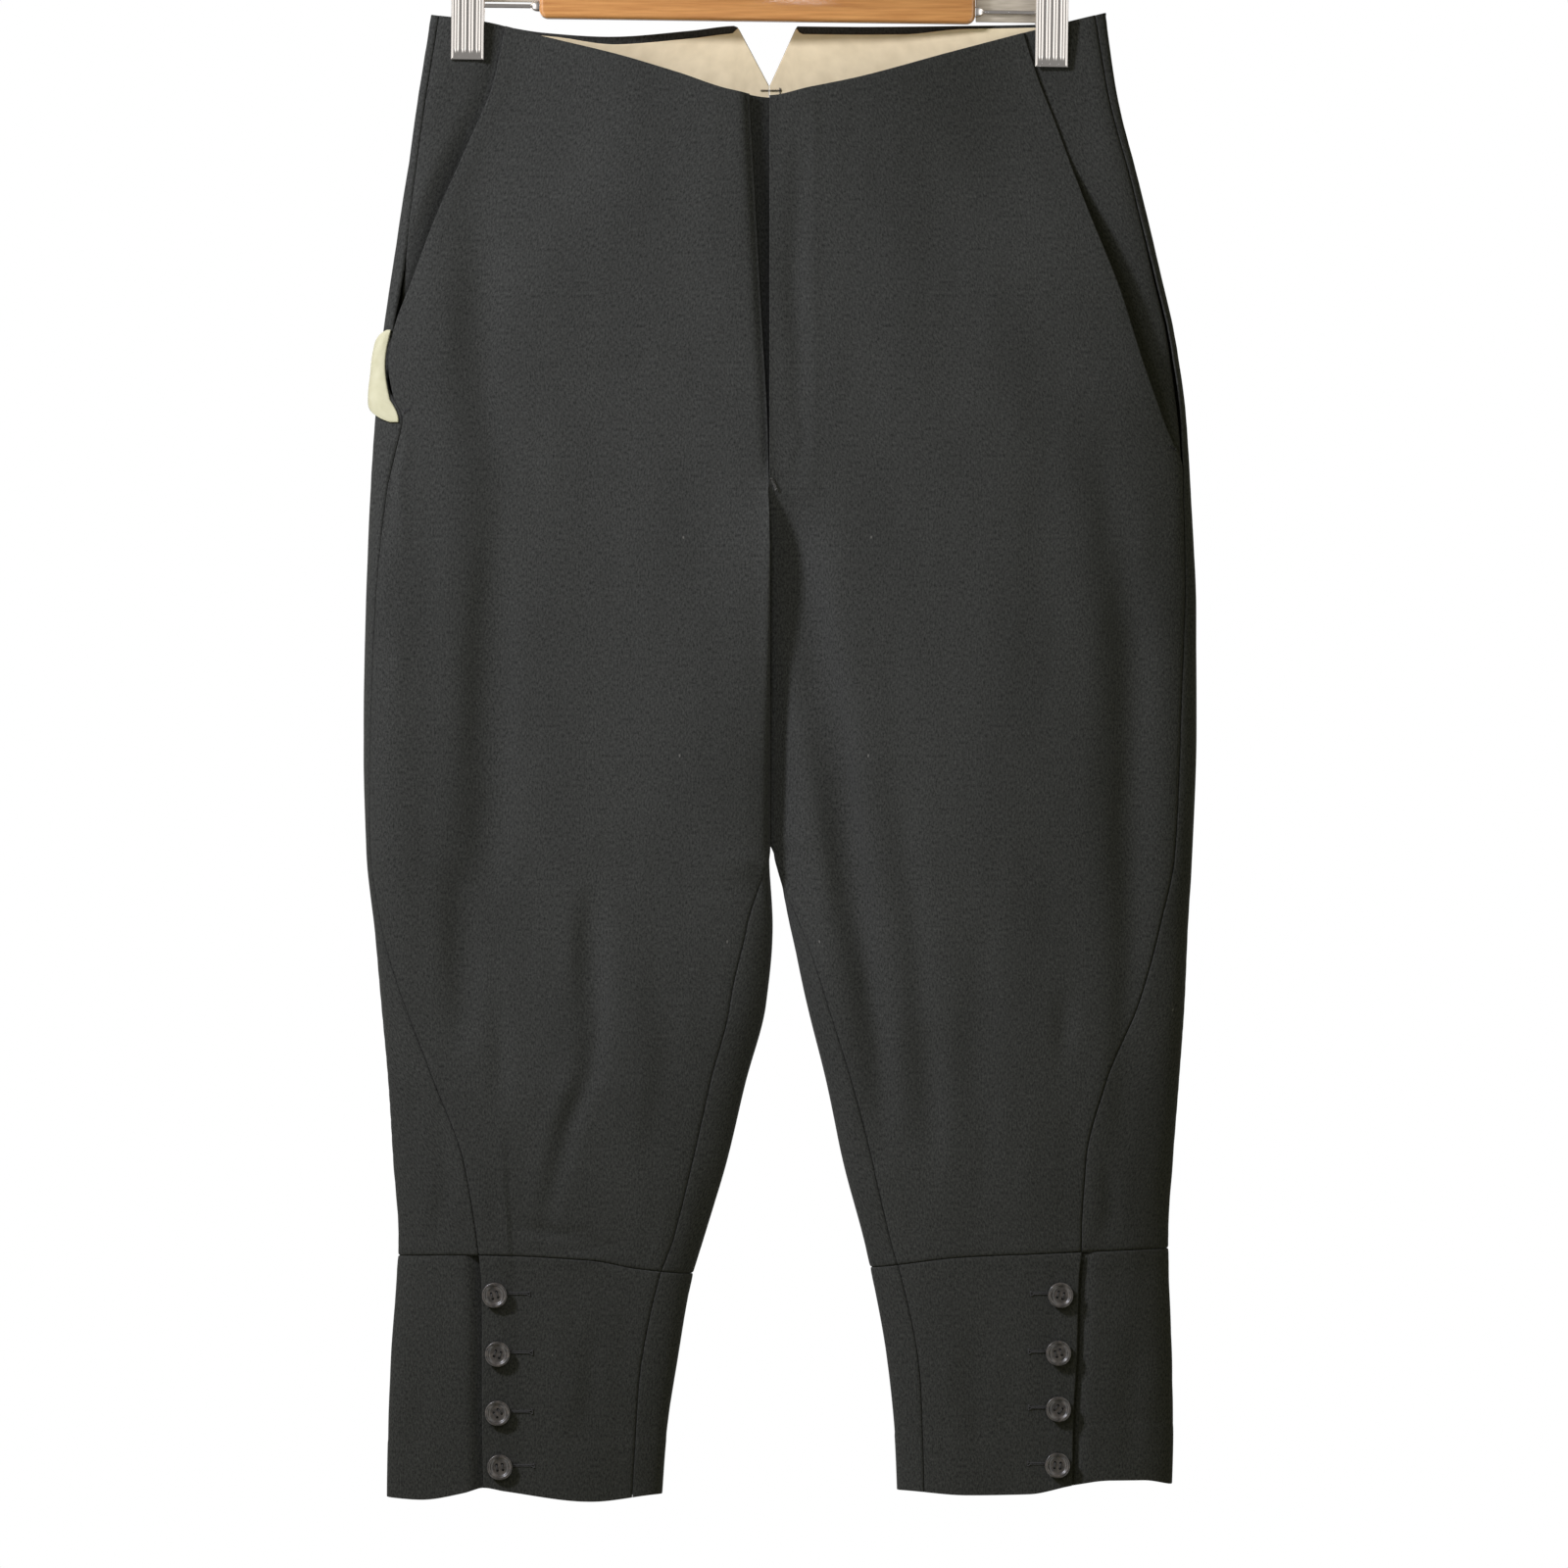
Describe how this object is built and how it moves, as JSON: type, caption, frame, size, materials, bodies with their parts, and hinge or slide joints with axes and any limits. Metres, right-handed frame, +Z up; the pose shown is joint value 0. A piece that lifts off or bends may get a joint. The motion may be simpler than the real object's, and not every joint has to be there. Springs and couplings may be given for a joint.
{
  "type": "jodhpurs on a clip hanger",
  "caption": "Cropped charcoal jodhpurs with slanted pockets, fly front, wide thighs and buttoned knee cuffs, hanging from the clips of a wooden trouser hanger.",
  "frame": {"origin": "top of the inside of the hanger's hook, where it sits on the rail", "axes": "+Z up, -Y out of the front of the garment, +X to the wearer's left"},
  "size_m": [0.4756, 0.054, 0.9462],
  "materials": {
    "charcoal_cloth": "matte woven twill with a fine melange",
    "cream_cotton": "plain woven cotton",
    "button_resin": "moulded, softly polished",
    "varnished_wood": "varnished",
    "chrome_steel": "bright plated steel"
  },
  "bodies": {
    "root": {"front_right": "charcoal_cloth", "front_left": "charcoal_cloth", "back_right": "charcoal_cloth", "back_left": "charcoal_cloth", "hip_right": "charcoal_cloth", "hip_left": "charcoal_cloth", "fly_guard": "charcoal_cloth", "cuff_front_right": "charcoal_cloth", "cuff_front_left": "charcoal_cloth", "cuff_back_right": "charcoal_cloth", "cuff_back_left": "charcoal_cloth", "facing_right": "cream_cotton", "facing_left": "cream_cotton", "pocket_bag_right": "cream_cotton", "button_right_1": "button_resin", "button_right_2": "button_resin", "button_right_3": "button_resin", "button_right_4": "button_resin", "button_left_1": "button_resin", "button_left_2": "button_resin", "button_left_3": "button_resin", "button_left_4": "button_resin", "hanger_bar": "varnished_wood", "hanger_hook": "chrome_steel", "hanger_arm_right": "chrome_steel", "hanger_arm_left": "chrome_steel", "clip_front_right": "chrome_steel", "clip_back_right": "chrome_steel", "clip_front_left": "chrome_steel", "clip_back_left": "chrome_steel"}
  },
  "joints": []
}
